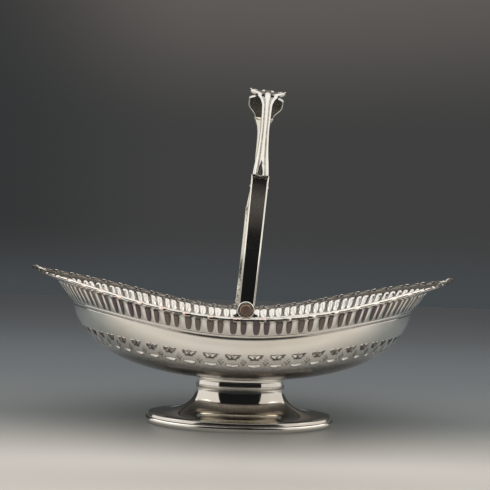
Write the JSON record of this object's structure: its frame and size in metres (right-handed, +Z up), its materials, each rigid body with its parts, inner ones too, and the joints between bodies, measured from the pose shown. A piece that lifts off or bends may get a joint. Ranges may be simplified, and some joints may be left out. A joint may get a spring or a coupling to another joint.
{
  "type": "basket",
  "caption": "Pointed oval footed basket with fluted and pierced bands, scalloped border and an arched handle that swings on side rivets.",
  "frame": {"origin": "on the table, under the middle of the foot", "axes": "+X along the bowl to one pointed end, +Y across it along the hinge line, +Z up"},
  "size_m": [0.3284, 0.2354, 0.2591],
  "materials": {
    "polished_plate": "mirror-polished silver plate with a faint warm tarnish",
    "cast_plate": "polished silver plate with darkened hollows",
    "worn_copper": "dull copper, where the plate is worn off the rivet heads"
  },
  "bodies": {
    "basket": {"bowl_shell": "polished_plate", "foot_neck": "polished_plate", "neck_bead": "polished_plate", "foot_stem": "polished_plate", "foot_edge_wire": "polished_plate", "hinge_washer_front": "polished_plate", "hinge_washer_back": "polished_plate", "border_front": "cast_plate", "border_back": "cast_plate", "border_tip_left": "cast_plate", "border_tip_right": "cast_plate", "hinge_lug_front": "cast_plate", "hinge_lug_back": "cast_plate", "hinge_pin_front": "worn_copper", "hinge_pin_back": "worn_copper"},
    "handle": {"handle_leg_front": "polished_plate", "handle_leg_back": "polished_plate", "handle_stalk_front": "cast_plate", "handle_stalk_back": "cast_plate", "handle_grip": "cast_plate"}
  },
  "joints": [
    {"name": "handle_swing", "type": "hinge", "parent": "basket", "child": "handle", "pos_m": [0, 0, 0.09], "axis": [0, 1, 0], "range_deg": [-79.8, 70.2]}
  ]
}
